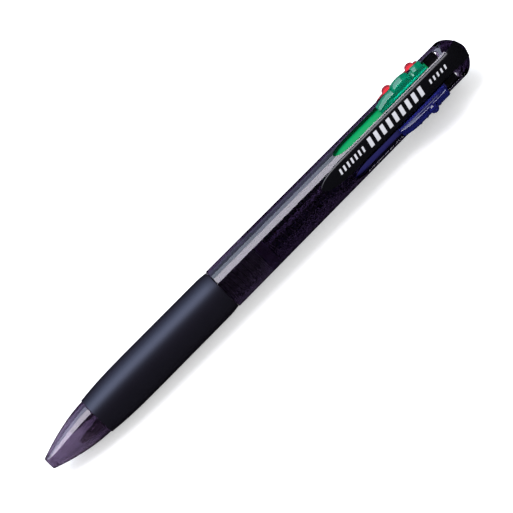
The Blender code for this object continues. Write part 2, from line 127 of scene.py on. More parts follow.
# ---- sizes read from the frame, in millimetres -----------------------------------------------
GRIP_FRONT = extent("rubber_grip")[0].z
BARREL_FRONT = extent("rear_barrel")[0].z
PEN_LENGTH = extent("rear_barrel")[1].z
THREAD_END = extent("front_barrel")[1].z
BALL_LOW, BALL_HIGH = extent("green_ball", ANGLE["green"])
REFILL_ORBIT = (BALL_LOW.y + BALL_HIGH.y) / 2
KNOB_LOW, KNOB_HIGH = extent("green_knob", ANGLE["green"])
SLIDER_LOW, SLIDER_HIGH = extent("green_slider", ANGLE["green"])
TUBE_LOW, TUBE_HIGH = extent("green_refill_tube", ANGLE["green"])
TUBE_RADIUS = (TUBE_HIGH.x - TUBE_LOW.x) / 2
POINT_LOW, POINT_HIGH = extent("green_refill_point", ANGLE["green"])
BARREL_RADIUS = radius_near("rear_barrel", BARREL_FRONT)
DOME_LENGTH = 4.6
DOME_POWER = 1.7           # fullness of the dome's curve
DOME_START = PEN_LENGTH - DOME_LENGTH
REAR_RADIUS = radius_near("rear_barrel", DOME_START)
NOSE_END = GRIP_FRONT - FIT_GAP
NOSE_RADIUS = radius_near("front_barrel", NOSE_END, 0.1)
TIP_RADIUS = radius_near("front_barrel", 0, 0.1)
BARREL_BORE = extent("spring_seat")[1].y + FIT_GAP
SLOT_SEARCH = 1.6          # half width of the stretch of barrel that holds one slot's edges
FAR_SIDE = 3               # anything nearer the axis than this is not the slot's own wall


def slot_ends():
    """Front and rear ends, and width, of the barrel's slots."""
    points = node_points("rear_barrel", ANGLE["green"])
    near = points[(abs(points[:, 0]) < SLOT_SEARCH) & (points[:, 1] > FAR_SIDE)]
    near = near[(near[:, 2] > SLIDER_LOW.z) & (near[:, 2] < DOME_START - 1)]
    return float(near[:, 2].min()), float(near[:, 2].max()), float(near[:, 0].max() * 2)


SLOT_FRONT, SLOT_REAR, SLOT_WIDTH = slot_ends()


# ---- mesh helpers, all in the pen's frame ----------------------------------------------------
STRAIGHT_BEND = 165        # degrees, an outline's corner flatter than this is left as it is
CORNER_SHARE = 0.45        # of an edge that one rounded corner may take
ON_AXIS = 1e-6             # a profile point nearer the axis than this is on it
BEVEL_SEGMENTS = 3


def made(name, points, faces, turn=None, at=(0, 0, 0)):
    """Mesh object from points in the pen's frame, its place in its vertices."""
    move = PEN @ Matrix.Translation(Vector(at))
    if turn is not None:
        move = move @ turn.to_4x4()
    mesh = bpy.data.meshes.new(name)
    mesh.from_pydata([move @ Vector(point) for point in points], [], faces)
    mesh.validate()
    obj = bpy.data.objects.new(name, mesh)
    bpy.context.scene.collection.objects.link(obj)
    return obj


def fillet(points, radius, steps):
    """Rounds each corner of an outline with an arc-like curve of about the given radius."""
    out = []
    count = len(points)
    for i, point in enumerate(points):
        here = Vector(point)
        before = Vector(points[i - 1]) - here
        after = Vector(points[(i + 1) % count]) - here
        bend = math.degrees(before.angle(after))
        if bend > STRAIGHT_BEND:
            out.append(tuple(point))
            continue
        reach = min(radius, before.length * CORNER_SHARE, after.length * CORNER_SHARE)
        first = here + before.normalized() * reach
        last = here + after.normalized() * reach
        for step in range(steps + 1):
            t = step / steps
            spot = first * (1 - t) ** 2 + here * 2 * t * (1 - t) + last * t * t
            out.append(tuple(spot))
    return out


def lathe(name, profile, steps=128, at=(0, 0, 0)):
    """Turned solid: a (radius, z) loop down its outer side and, for a ring, up its bore. A profile
    that starts and ends on the axis is closed there."""
    ring = profile[0][0] > 0
    points = []
    rows = []
    for radius, z in profile:
        if radius <= ON_AXIS:
            rows.append([len(points)] * steps)
            points.append((0, 0, z))
            continue
        rows.append(list(range(len(points), len(points) + steps)))
        for i in range(steps):
            turn = math.tau * i / steps
            points.append((radius * math.cos(turn), radius * math.sin(turn), z))
    pairs = list(zip(rows, rows[1:]))
    if ring:
        pairs.append((rows[-1], rows[0]))
    faces = []
    for upper, lower in pairs:
        for i in range(steps):
            j = (i + 1) % steps
            loop = [upper[i], lower[i], lower[j], upper[j]]
            face = [v for k, v in enumerate(loop) if v not in loop[:k]]
            if len(face) > 2:
                faces.append(face)
    return made(name, points, faces, at=at)


def ball_profile(radius, turn_step):
    """Lathe profile of a ball, from its high pole to its low one; turn_step is in degrees."""
    turns = [math.radians(turn) for turn in range(turn_step, 180, turn_step)]
    around = [(radius * math.sin(turn), radius * math.cos(turn)) for turn in turns]
    return [(0, radius)] + around + [(0, -radius)]


def plate(name, outline, thickness, angle):
    """Plate from a closed (along, outward) outline, standing out of one side of the pen."""
    half = thickness / 2
    count = len(outline)
    points = [(side, out, along) for side in (-half, half) for along, out in outline]
    faces = [list(range(count)), list(range(2 * count - 1, count - 1, -1))]
    faces += [[i, i + count, (i + 1) % count + count, (i + 1) % count] for i in range(count)]
    obj = made(name, points, faces, facing(angle))
    tidy(obj)
    return obj


def tidy(obj, merge=2e-7):
    """Merges doubled vertices and turns the faces outward."""
    work = bmesh.new()
    work.from_mesh(obj.data)
    bmesh.ops.remove_doubles(work, verts=work.verts, dist=merge)
    bmesh.ops.recalc_face_normals(work, faces=work.faces)
    work.to_mesh(obj.data)
    work.free()
    return obj


def bevel(obj, width, limit=40):
    """Rounds the edges that turn by more than limit degrees."""
    change = obj.modifiers.new("soft_edges", "BEVEL")
    change.width = width * MM
    change.segments = BEVEL_SEGMENTS
    change.limit_method = "ANGLE"
    change.angle_limit = math.radians(limit)
    change.harden_normals = False
    apply(obj)


def boolean(obj, other, operation):
    """Joins or cuts obj with another mesh, then removes that mesh."""
    change = obj.modifiers.new("join_or_cut", "BOOLEAN")
    change.operation = operation
    change.solver = "EXACT"
    change.object = other
    apply(obj)
    bpy.data.objects.remove(other)


def apply(obj):
    """Writes an object's modifiers into its mesh."""
    graph = bpy.context.evaluated_depsgraph_get()
    mesh = bpy.data.meshes.new_from_object(obj.evaluated_get(graph))
    mesh.name = obj.name
    obj.modifiers.clear()
    obj.data = mesh


def smooth(obj, sharp=35):
    """Smooth shading with sharp edges kept, modifiers applied."""
    apply(obj)
    obj.data.shade_smooth()
    obj.data.set_sharp_from_angle(angle=math.radians(sharp))
    return obj


def finish_piece(obj, look, body, slot, *nodes):
    """Gives a piece its material and its body, and hides the CAD nodes it stands for. The slot
    argument is not used.
    """
    obj.data.materials.clear()
    obj.data.materials.append(look)
    if body:
        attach(obj, body)
    if nodes:
        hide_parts(*nodes)


# ---- materials -------------------------------------------------------------------------------
NOISE_DETAIL = 3.0
NOISE_RANGE = (0.35, 0.65)         # what the noise texture's values mostly span
MIX_FACTOR, MIX_FIRST, MIX_SECOND, MIX_RESULT = 0, 6, 7, 2     # the colour mix's own sockets
CLEAR_INDEX = 1.5                  # refractive index of the clear plastics
HAZE_SCALE = 160
HAZE_SPREAD = 0.03                 # roughness that handling adds at most
WALL = 0.00065                     # metres, the clear plastic's usual thickness


def principled(name, colour, roughness, **sockets):
    """A Principled material. Extra sockets are given by name with _ for a space."""
    look = bpy.data.materials.new(name)
    look.use_nodes = True
    shader = look.node_tree.nodes["Principled BSDF"]
    shader.inputs["Base Color"].default_value = (*colour, 1)
    shader.inputs["Roughness"].default_value = roughness
    for key, value in sockets.items():
        shader.inputs[key.replace("_", " ")].default_value = value
    return look


def noise(look, scale):
    """A noise texture in the row frame; scale is features per metre."""
    tree = look.node_tree
    place = tree.nodes.new("ShaderNodeTexCoord")
    texture = tree.nodes.new("ShaderNodeTexNoise")
    texture.inputs["Scale"].default_value = scale
    texture.inputs["Detail"].default_value = NOISE_DETAIL
    tree.links.new(place.outputs["Object"], texture.inputs["Vector"])
    return texture.outputs["Fac"]


def grain(look, scale, height):
    """Fine surface relief: height in metres."""
    tree = look.node_tree
    relief = tree.nodes.new("ShaderNodeBump")
    relief.inputs["Strength"].default_value = 1.0
    relief.inputs["Distance"].default_value = height
    tree.links.new(noise(look, scale), relief.inputs["Height"])
    tree.links.new(relief.outputs["Normal"], tree.nodes["Principled BSDF"].inputs["Normal"])
    return look


def uneven(look, scale, low, high):
    """Roughness that wanders between two values, as handling marks do."""
    tree = look.node_tree
    spread = tree.nodes.new("ShaderNodeMapRange")
    spread.inputs["From Min"].default_value = NOISE_RANGE[0]
    spread.inputs["From Max"].default_value = NOISE_RANGE[1]
    spread.inputs["To Min"].default_value = low
    spread.inputs["To Max"].default_value = high
    tree.links.new(noise(look, scale), spread.inputs["Value"])
    tree.links.new(spread.outputs["Result"], tree.nodes["Principled BSDF"].inputs["Roughness"])
    return look


def mottled(look, scale, first, second):
    """Base colour that drifts between two close shades."""
    tree = look.node_tree
    blend = tree.nodes.new("ShaderNodeMix")
    blend.data_type = "RGBA"
    blend.inputs[MIX_FIRST].default_value = (*first, 1)
    blend.inputs[MIX_SECOND].default_value = (*second, 1)
    tree.links.new(noise(look, scale), blend.inputs[MIX_FACTOR])
    tree.links.new(blend.outputs[MIX_RESULT], tree.nodes["Principled BSDF"].inputs["Base Color"])
    return look


def shade(colour, factor):
    return tuple(channel * factor for channel in colour)


BAR_COLOUR = {
    "black": (0.012, 0.012, 0.014),
    "red": (0.4, 0.006, 0.01),
    "green": (0.0, 0.25, 0.075),
    "blue": (0.016, 0.015, 0.1),
}
KNOB_COLOUR = {
    "black": (0.02, 0.02, 0.024),
    "red": (0.7, 0.008, 0.015),
    "green": (0.004, 0.42, 0.24),
    "blue": (0.02, 0.024, 0.2),
}


def smoke_plastic(name, tint, clearness, roughness):
    """Glossy clear plastic with a smoke dye and faint handling haze. Clearness is what is left of
    each channel after a wall's thickness, so edges seen through more plastic come out darker."""
    look = principled(name, tint, roughness, Transmission_Weight=1.0, IOR=CLEAR_INDEX,
                      Coat_Weight=1.0, Coat_Roughness=0.03)
    tree = look.node_tree
    dye = tree.nodes.new("ShaderNodeVolumeAbsorption")
    loss = [-math.log(channel) / WALL for channel in clearness]
    dye.inputs["Color"].default_value = (*[1 - part / max(loss) for part in loss], 1)
    dye.inputs["Density"].default_value = max(loss)
    tree.links.new(dye.outputs["Volume"], tree.nodes["Material Output"].inputs["Volume"])
    return uneven(look, HAZE_SCALE, roughness, roughness + HAZE_SPREAD)


BARREL_LOOK = smoke_plastic("barrel_smoke", (0.26, 0.225, 0.31), (0.5, 0.45, 0.54), 0.04)
CLIP_LOOK = smoke_plastic("clip_smoke", (0.25, 0.22, 0.3), (0.5, 0.45, 0.56), 0.05)
NOSE_LOOK = smoke_plastic("nose_smoke", (0.52, 0.48, 0.56), (0.6, 0.55, 0.63), 0.08)
# The grip's sheen comes from the lamps, but its blue specular tint is painted: it gives that
# highlight the bluish colour of the studio light.
GRIP_LOOK = principled("grip_rubber", (0.007, 0.0045, 0.009), 0.42, Specular_IOR_Level=0.6,
                       Specular_Tint=(0.62, 0.73, 1, 1))
mottled(GRIP_LOOK, 90, (0.006, 0.0036, 0.007), (0.0085, 0.0055, 0.0105))
grain(GRIP_LOOK, 9000, 0.000004)
THREAD_LOOK = principled("thread_smoke", (0.12, 0.1, 0.13), 0.2, Transmission_Weight=0.3)
PANEL_LOOK = principled("strip_black", (0.003, 0.003, 0.004), 0.12)
uneven(PANEL_LOOK, 200, 0.08, 0.16)
MARK_LOOK = principled("strip_print_white", (0.5, 0.5, 0.52), 0.4)
mottled(MARK_LOOK, 900, (0.42, 0.43, 0.46), (0.55, 0.55, 0.57))
CORE_LOOK = principled("core_black", (0.01, 0.009, 0.012), 0.4)
grain(CORE_LOOK, 3000, 0.00001)
SEAT_LOOK = principled("seat_natural", (0.75, 0.66, 0.75), 0.35, Subsurface_Weight=0.1,
                       Subsurface_Scale=0.001)
grain(SEAT_LOOK, 2500, 0.00001)
STEEL_LOOK = principled("spring_steel", (0.62, 0.6, 0.58), 0.25, Metallic=1.0)
uneven(STEEL_LOOK, 2500, 0.15, 0.35)
# Nickel with painted shade: its colour is darkened to stand in for the dark surroundings the point
# reflects inside the nose.
NICKEL_PAINTED_SHADE_LOOK = principled("point_nickel_painted_shade", (0.2, 0.17, 0.17), 0.2, Metallic=1.0)
uneven(NICKEL_PAINTED_SHADE_LOOK, 1500, 0.12, 0.28)
BALL_LOOK = principled("ball_carbide", (0.5, 0.5, 0.52), 0.1, Metallic=1.0)


def bar_look(colour):
    paint = BAR_COLOUR[colour]
    look = principled(f"{colour}_bar_plastic", paint, 0.4, Specular_IOR_Level=0.1)
    return grain(mottled(look, 350, shade(paint, 0.92), shade(paint, 1.06)), 2500, 0.000008)


def knob_look(colour):
    paint = KNOB_COLOUR[colour]
    look = principled(f"{colour}_knob_clear", paint, 0.08, Transmission_Weight=0.75,
                      IOR=CLEAR_INDEX, Coat_Weight=1.0, Coat_Roughness=0.05)
    return uneven(look, 500, 0.05, 0.14)


def ink_look(colour):
    paint = shade(BAR_COLOUR[colour], 0.8)
    look = principled(f"{colour}_ink_tube", paint, 0.2, Coat_Weight=0.6, Coat_Roughness=0.1)
    return mottled(look, 120, shade(paint, 0.85), paint)


# ---- front barrel and grip -------------------------------------------------------------------
NOSE_POWER = 1.72          # fullness of the nose's curve
NOSE_WALL = 0.7
NOSE_STEPS = 40
NOSE_BORE_START = 2        # where the nose's bore takes over from the tip's opening
ORIFICE_RADIUS = 1.25
ORIFICE_LENGTH = 1.6
TIP_EDGE = 0.12            # rounding of the rims round the tip's opening
CORE_BORE = REFILL_ORBIT + TUBE_RADIUS + FIT_GAP
CORE_WALL = 0.55
CORE_REAR_TRIM = 0.2

THREAD_PITCH = 1.5
THREAD_HEIGHT = 0.4
THREAD_TURNS = 7
THREAD_STEPS = 72          # to one turn
THREAD_FADE = 12           # steps over which each end of the ridge rises
THREAD_LEAD = 0.5          # from the barrel's front edge to the ridge
THREAD_ROOT = 0.57         # ridge's root outside the core's bore
THREAD_SINK = 0.12         # how far the ridge's base reaches into the core
RIDGE_BASE = 0.62          # half widths of the ridge, from its base to its crest
RIDGE_FOOT = 0.6
RIDGE_CREST = 0.16

GRIP_LAP = 0.25            # closes most of the gap to the nose and to the barrel
GRIP_SKIN = 0.2            # points less than this outside the bore belong to the bore
GRIP_EDGE = 0.12           # rounding of the sleeve's rims
GRIP_STEPS = 60
SAME_PLACE = 0.02          # points this close along the pen share one ring
SMOOTHING_PASSES = 6


def nose_radius(z):
    rise = 1 - (1 - min(max(z / NOSE_END, 0), 1)) ** NOSE_POWER
    return TIP_RADIUS + (NOSE_RADIUS - TIP_RADIUS) * rise


def build_front_barrel():
    """Nose and core as one turned piece, with a rounded lip round the tip's opening."""
    seat = CORE_BORE + CORE_WALL
    heights = [NOSE_END * i / NOSE_STEPS for i in range(1, NOSE_STEPS)]
    core = [(seat, THREAD_END - CORE_REAR_TRIM), (seat, NOSE_END + 0.15)]
    shoulder = [(NOSE_RADIUS - 0.12, NOSE_END + 0.1), (NOSE_RADIUS, NOSE_END - 0.1)]
    nose = [(nose_radius(z), z) for z in reversed(heights)]
    lip = [(TIP_RADIUS + 0.02, TIP_EDGE), (TIP_RADIUS - 0.1, 0.0), (ORIFICE_RADIUS + TIP_EDGE, 0.0),
           (ORIFICE_RADIUS, TIP_EDGE), (ORIFICE_RADIUS, ORIFICE_LENGTH)]
    bore = [(min(nose_radius(z) - NOSE_WALL, CORE_BORE), z) for z in heights if z > NOSE_BORE_START]
    bore += [(CORE_BORE, NOSE_END), (CORE_BORE, THREAD_END)]
    barrel = lathe("front_barrel_fine", core + shoulder + nose + lip + bore)
    finish_piece(smooth(barrel), NOSE_LOOK, "root", "nose_plastic", "front_barrel")


def build_thread():
    """Helical ridge on the front barrel's rear end, seen through the rear barrel."""
    root = CORE_BORE + THREAD_ROOT
    base = root - THREAD_SINK
    crest = root + THREAD_HEIGHT
    section = ((base, -RIDGE_BASE), (root, -RIDGE_FOOT), (crest, -RIDGE_CREST),
               (crest, RIDGE_CREST), (root, RIDGE_FOOT), (base, RIDGE_BASE))
    size = len(section)
    start = BARREL_FRONT + THREAD_LEAD
    total = THREAD_TURNS * THREAD_STEPS
    points = []
    faces = []
    for i in range(total + 1):
        turn = math.tau * i / THREAD_STEPS
        centre = start + THREAD_PITCH * i / THREAD_STEPS
        fade = min(1, i / THREAD_FADE, (total - i) / THREAD_FADE)
        for radius, rise in section:
            r = base + (radius - base) * fade
            points.append((r * math.cos(turn), r * math.sin(turn), centre + rise))
    for i in range(total):
        for k in range(size):
            m = (k + 1) % size
            faces.append([i * size + k, i * size + m, (i + 1) * size + m, (i + 1) * size + k])
    faces.append(list(range(size)))
    faces.append(list(range((total + 1) * size - 1, total * size - 1, -1)))
    thread = tidy(made("front_thread", points, faces))
    finish_piece(smooth(thread), THREAD_LOOK, "root", "nose_plastic")


def smoothed(pairs, count):
    """Evenly spaced points on a soft curve through (radius, z) pairs."""
    z = np.array([pair[1] for pair in pairs])
    r = np.array([pair[0] for pair in pairs])
    dense = np.linspace(z[0], z[-1], count)
    line = np.interp(dense, z, r)
    for _ in range(SMOOTHING_PASSES):
        line[1:-1] = (line[:-2] + 2 * line[1:-1] + line[2:]) / 4
    return [(float(a), float(b)) for a, b in zip(line, dense)]


def build_grip():
    """Sleeve read from the CAD outline, with rolled edges."""
    points = node_points("rubber_grip")
    radii = np.hypot(points[:, 0], points[:, 1])
    bore = radii.min()
    outer = []
    for z in sorted(set(np.round(points[:, 2], 2))):
        radius = float(radii[abs(points[:, 2] - z) < SAME_PLACE].max())
        if radius > bore + GRIP_SKIN:
            outer.append((radius, float(z)))
    curve = smoothed(outer, GRIP_STEPS)
    front = curve[0][1] - GRIP_LAP
    rear = curve[-1][1] + GRIP_LAP
    curve[0] = (curve[0][0], front)
    curve[-1] = (curve[-1][0], rear)
    profile = list(reversed(curve)) + [(bore, front), (bore, rear)]
    grip = lathe("rubber_grip_fine", fillet(profile, GRIP_EDGE, 4))
    finish_piece(smooth(grip), GRIP_LOOK, "root", "grip_rubber", "rubber_grip")


# ---- rear barrel -----------------------------------------------------------------------------
BARREL_WALL = 0.6
BARREL_EDGE = 0.12         # rounding of the front rim
BARREL_STEPS = 36
BARREL_SIDES = 144
DOME_WALL = 1.2            # plastic left at the top of the dome
BORE_ROWS = slice(None, -6, 2)     # the outside's rings that the bore has too
SLOT_NOSE = 5.2            # length over which a slot's front end opens to full width
SLOT_STEPS = 12            # to each end of a slot
SLOT_FLARE = 0.48          # how much wider the slot's chamfer is where its cut ends
CHAMFER_DEPTH = 0.55
CUT_LOW = REAR_RADIUS - 0.9        # well inside the wall
CUT_HIGH = REAR_RADIUS + 1         # well outside it
TRACK_LAP = 4              # how far the track's cut runs into its slot
TRACK_END = DOME_START + 2.6
TRACK_DEPTH = 0.32
CLIP_HOLE_HALF = 1.9
BARREL_MERGE = 1e-7        # metres


def quarter_turn(step):
    """Angles from 0 to 90 degrees, in radians; the step is in degrees."""
    return [math.radians(angle) for angle in range(0, 91, step)]


def barrel_radius(z):
    share = min((z - BARREL_FRONT) / (DOME_START - BARREL_FRONT), 1)
    straight = BARREL_RADIUS + (REAR_RADIUS - BARREL_RADIUS) * share
    if z <= DOME_START:
        return straight
    rise = min((z - DOME_START) / DOME_LENGTH, 1)
    return straight * (1 - rise ** DOME_POWER) ** (1 / DOME_POWER)


def slot_outline(half, front, rear, nose):
    """Closed (across, along) outline with a round rear end and a longer, leaf-shaped front."""
    out = []
    for centre, reach, start in ((rear - half, half, 0), (front + nose, nose, 180)):
        for i in range(SLOT_STEPS + 1):
            turn = math.radians(start + 180 * i / SLOT_STEPS)
            out.append((half * math.cos(turn), centre + reach * math.sin(turn)))
    return out


def prism(name, rings, angle):
    """Closed solid through outlines of equal length, each at its own distance from the axis."""
    points = [(across, out, along) for ring, out in rings for across, along in ring]
    count = len(rings[0][0])
    faces = [list(range(count)), list(range(len(points) - 1, len(points) - count - 1, -1))]
    for level in range(len(rings) - 1):
        low = level * count
        for i in range(count):
            j = (i + 1) % count
            faces.append([low + i, low + j, low + count + j, low + count + i])
    return tidy(made(name, points, faces, facing(angle)))


def barrel_profile():
    """The shell's loop for the lathe: down its outside from the dome's top, then up its bore."""
    dome = [PEN_LENGTH - DOME_LENGTH * (1 - math.cos(turn)) for turn in quarter_turn(5)]
    straight = np.linspace(DOME_START, BARREL_FRONT + 0.2, BARREL_STEPS)[1:]
    outer = [(barrel_radius(z), z) for z in dome]
    outer += [(barrel_radius(z), float(z)) for z in straight]
    thread_bore = BARREL_RADIUS - BARREL_WALL
    inner = [(BARREL_RADIUS - BARREL_EDGE, BARREL_FRONT), (thread_bore + 0.1, BARREL_FRONT),
             (thread_bore, BARREL_FRONT + 0.15), (thread_bore, THREAD_END),
             (BARREL_BORE, THREAD_END)]
    shrink = BARREL_BORE / REAR_RADIUS
    inner += [(BARREL_BORE, float(z) - DOME_WALL) for z in reversed(straight[BORE_ROWS])]
    inner += [(barrel_radius(z) * shrink, z - DOME_WALL) for z in reversed(dome)]
    return outer + inner


def cut_slot(shell, angle):
    """A slot with a chamfered edge and a shallow track behind it."""
    half = SLOT_WIDTH / 2
    top = barrel_radius(SLOT_FRONT)
    plain = slot_outline(half, SLOT_FRONT, SLOT_REAR, SLOT_NOSE)
    wide = slot_outline(half + SLOT_FLARE, SLOT_FRONT - SLOT_FLARE, SLOT_REAR + SLOT_FLARE,
                        SLOT_NOSE + SLOT_FLARE)
    rings = [(plain, CUT_LOW), (plain, top - CHAMFER_DEPTH), (wide, top + SLOT_FLARE)]
    boolean(shell, prism("slot_cut", rings, angle), "DIFFERENCE")
    track = slot_outline(half - 0.1, SLOT_REAR - TRACK_LAP, TRACK_END, half)
    wide = slot_outline(half + 0.3, SLOT_REAR - TRACK_LAP, TRACK_END + 0.4, half)
    rings = [(track, REAR_RADIUS - TRACK_DEPTH), (wide, CUT_HIGH)]
    boolean(shell, prism("track_cut", rings, angle), "DIFFERENCE")


def build_rear_barrel():
    """Thin shell with four slots and the hole for the clip's root."""
    shell = lathe("rear_barrel_fine", barrel_profile(), BARREL_SIDES)
    for angle in ANGLE.values():
        cut_slot(shell, angle)
    root_front, root_rear = clip_root()
    front = root_front - FIT_GAP
    rear = root_rear + FIT_GAP
    hole = [(-CLIP_HOLE_HALF, front), (CLIP_HOLE_HALF, front), (CLIP_HOLE_HALF, rear),
            (-CLIP_HOLE_HALF, rear)]
    rings = [(hole, CUT_LOW), (hole, CUT_HIGH)]
    boolean(shell, prism("clip_cut", rings, CLIP_ANGLE), "DIFFERENCE")
    tidy(shell, BARREL_MERGE)
    finish_piece(smooth(shell, 28), BARREL_LOOK, "root", "barrel_plastic", "rear_barrel")


# ---- pocket clip -----------------------------------------------------------------------------
CLIP_THICKNESS = 1.5
CLIP_SHOULDER = 0.4        # arm's base past each end of its root
CLIP_PAD_GAP = 0.4         # pad over the barrel
CLIP_SEAT_GAP = 0.3        # arm's base over the barrel
CLIP_ROUNDING = 0.9        # of the outline's corners
CLIP_EDGE = 0.35           # bevel along the outline
CLIP_ROOT_WIDTH = 3.2
CLIP_ROOT_LOW = BARREL_BORE + 0.1
CLIP_ROOT_TOP = 0.8        # root's end inside the arm, over the arm's base


def clip_root():
    """Front and rear ends of the clip's root in the barrel wall."""
    points = node_points("clip", CLIP_ANGLE)
    near = points[points[:, 1] < BARREL_BORE + FIT_GAP]
    return float(near[:, 2].min()), float(near[:, 2].max())


def build_clip():
    """Arm with a pad at its front end, plugged into the barrel by its root."""
    low, high = extent("clip", CLIP_ANGLE)
    root_front, root_rear = clip_root()
    front = low.z
    rear = root_rear + CLIP_SHOULDER
    neck = root_front - CLIP_SHOULDER
    face = high.y
    under = face - CLIP_THICKNESS
    pad = barrel_radius(front) + CLIP_PAD_GAP
    seat = barrel_radius(neck) + CLIP_SEAT_GAP
    back = [(rear, seat), (rear + 0.5, under + 0.3), (rear - 0.6, face)]
    tip = [(front + 2.0, face), (front, face - 1.0), (front + 0.3, pad + 0.6), (front + 1.6, pad),
           (front + 3.2, pad), (front + 6.0, under)]
    base = [(neck - 1.6, under), (neck, under - 0.6), (neck, seat)]
    outline = fillet(back + tip + base, CLIP_ROUNDING, 5)
    arm = plate("clip_fine", outline, high.x - low.x, CLIP_ANGLE)
    bevel(arm, CLIP_EDGE)
    root_top = seat + CLIP_ROOT_TOP
    root = [(root_front, CLIP_ROOT_LOW), (root_rear, CLIP_ROOT_LOW), (root_rear, root_top),
            (root_front, root_top)]
    boolean(arm, plate("clip_root", root, CLIP_ROOT_WIDTH, CLIP_ANGLE), "UNION")
    finish_piece(smooth(arm), CLIP_LOOK, "root", "barrel_plastic", "clip")


# ---- printed strip ---------------------------------------------------------------------------
STRIP_FRONT = 93.7
STRIP_HALF = 2.3
STRIP_NOSE = 9.0           # length over which the tongue's front end opens
STRIP_SPREAD = 0.45        # what each side gains from the slots' rear ends to the dome's top
STRIP_REAR = PEN_LENGTH - 0.75
STRIP_LIFT = 0.14
STRIP_UNDER = -0.1         # the panel's underside, sunk in the barrel
STRIP_STEPS = 30
SLOPE_STEP = 0.02          # over which the barrel's slope is measured
# Steps across the panel as (share of its half width, lift), flat in the middle and rolled off.
STRIP_ROLL = ((0.3, STRIP_LIFT), (0.6, STRIP_LIFT), (0.86, STRIP_LIFT), (0.94, STRIP_LIFT * 0.75),
              (1.0, STRIP_LIFT * 0.1))
# Rows of printed bars as (first bar's place along the pen, pitch, slant, height, width, count).
MARK_ROWS = ((99.7, 1.28, 0.35, 1.35, 0.55, 7), (109.5, 2.15, 0.55, 2.35, 1.1, 9),
             (130.5, 1.25, 0.3, 1.05, 0.5, 5))
MARK_TOP = STRIP_LIFT + 0.015
MARK_UNDER = STRIP_LIFT - 0.03
MARK_STEPS = 6


def on_barrel(z, across, lift):
    """Point over the barrel's front, lifted along the outline's normal."""
    rise = barrel_radius(z + SLOPE_STEP) - barrel_radius(z - SLOPE_STEP)
    slope = rise / (2 * SLOPE_STEP)
    length = math.hypot(1, slope)
    radius = barrel_radius(z) + lift / length
    return (across, math.sqrt(max(radius ** 2 - across ** 2, 0)), z - lift * slope / length)


def strip_half(z):
    """Half width of the tongue: a round nose, then parallel sides that open a little."""
    rise = min((z - STRIP_FRONT) / STRIP_NOSE, 1)
    spread = STRIP_SPREAD * max(0, (z - SLOT_REAR) / (PEN_LENGTH - SLOT_REAR))
    return (STRIP_HALF + spread) * math.sqrt(max(1 - (1 - rise) ** 2, 0))


def skin(name, stations, half, lifts, under):
    """Closed thin panel over the barrel: stations along it, its half width at each, and
    (share of half width, lift) steps across it."""
    across = [-share for share, lift in reversed(lifts)] + [share for share, lift in lifts]
    heights = [lift for share, lift in reversed(lifts)] + [lift for share, lift in lifts]
    count = len(across)
    top = [on_barrel(z, half(z) * s, h) for z in stations for s, h in zip(across, heights)]
    base = [on_barrel(z, half(z) * s, under) for z in stations for s in across]
    rows = len(stations)
    lower = len(top)
    faces = []
    for i in range(rows - 1):
        for k in range(count - 1):
            a = i * count + k
            faces.append([a, a + 1, a + count + 1, a + count])
            faces.append([lower + a, lower + a + count, lower + a + count + 1, lower + a + 1])
    rim = list(range(count)) + [i * count + count - 1 for i in range(1, rows)]
    rim += [(rows - 1) * count + k for k in range(count - 2, -1, -1)]
    rim += [i * count for i in range(rows - 2, 0, -1)]
    for i, a in enumerate(rim):
        b = rim[(i + 1) % len(rim)]
        faces.append([a, b, lower + b, lower + a])
    return tidy(made(name, top + base, faces))


def build_strip():
    """Raised black tongue with a rolled rim."""
    nose = [STRIP_FRONT + 0.05 + STRIP_NOSE * (1 - math.cos(turn)) for turn in quarter_turn(6)]
    body = list(np.linspace(nose[-1], DOME_START, STRIP_STEPS))[1:]
    reach = STRIP_REAR - DOME_START
    dome = [DOME_START + reach * math.sin(turn) for turn in quarter_turn(6)[1:]]
    panel = skin("front_strip", nose + body + dome, strip_half, STRIP_ROLL, STRIP_UNDER)
    finish_piece(smooth(panel, 50), PANEL_LOOK, "root", "barrel_plastic")


def mark(start, slant, height, width):
    """One thin slanted bar lying on the strip."""
    points = []
    for lift in (MARK_TOP, MARK_UNDER):
        for k in range(MARK_STEPS + 1):
            share = k / MARK_STEPS
            across = height * (share - 0.5)
            left = start + slant * share
            points.append(on_barrel(left, across, lift))
            points.append(on_barrel(left + width, across, lift))
    end = 2 * MARK_STEPS
    lower = end + 2
    faces = []
    for a in range(0, end, 2):
        faces.append([a, a + 1, a + 3, a + 2])
        faces.append([lower + a, lower + a + 2, lower + a + 3, lower + a + 1])
        faces.append([a, a + 2, lower + a + 2, lower + a])
        faces.append([a + 1, lower + a + 1, lower + a + 3, a + 3])
    faces.append([0, lower, lower + 1, 1])
    faces.append([end, end + 1, lower + end + 1, lower + end])
    return tidy(made("mark", points, faces))


def join(obj, other):
    """Adds another object's mesh to obj's and removes the other object."""
    work = bmesh.new()
    work.from_mesh(obj.data)
    work.from_mesh(other.data)
    work.to_mesh(obj.data)
    work.free()
    bpy.data.objects.remove(other)


def build_marks():
    """Plain white printed bars: one fine row, one bold slanted row and one short row."""
    bars = [mark(first + i * pitch, slant, height, width)
            for first, pitch, slant, height, width, count in MARK_ROWS for i in range(count)]
    marks = bars[0]
    for other in bars[1:]:
        join(marks, other)
    marks.name = "strip_marks"
    finish_piece(smooth(marks, 50), MARK_LOOK, "root", "barrel_plastic")


# ---- inside ----------------------------------------------------------------------------------
FOOT_FRONT = TUBE_HIGH.z + FIT_GAP
FOOT_LENGTH = 4.3
FOOT_RADIUS = TUBE_RADIUS + 0.32
SPIGOT_RADIUS = 0.6
SLIDER_LIFT = 0.55         # bar's underside outside the refill circle
SLIDER_LAP = 4.7           # bar's length ahead of its slot
SLIDER_ROUNDING = 0.25     # of the bar's outline
SLIDER_EDGE = 0.16         # bevel along it

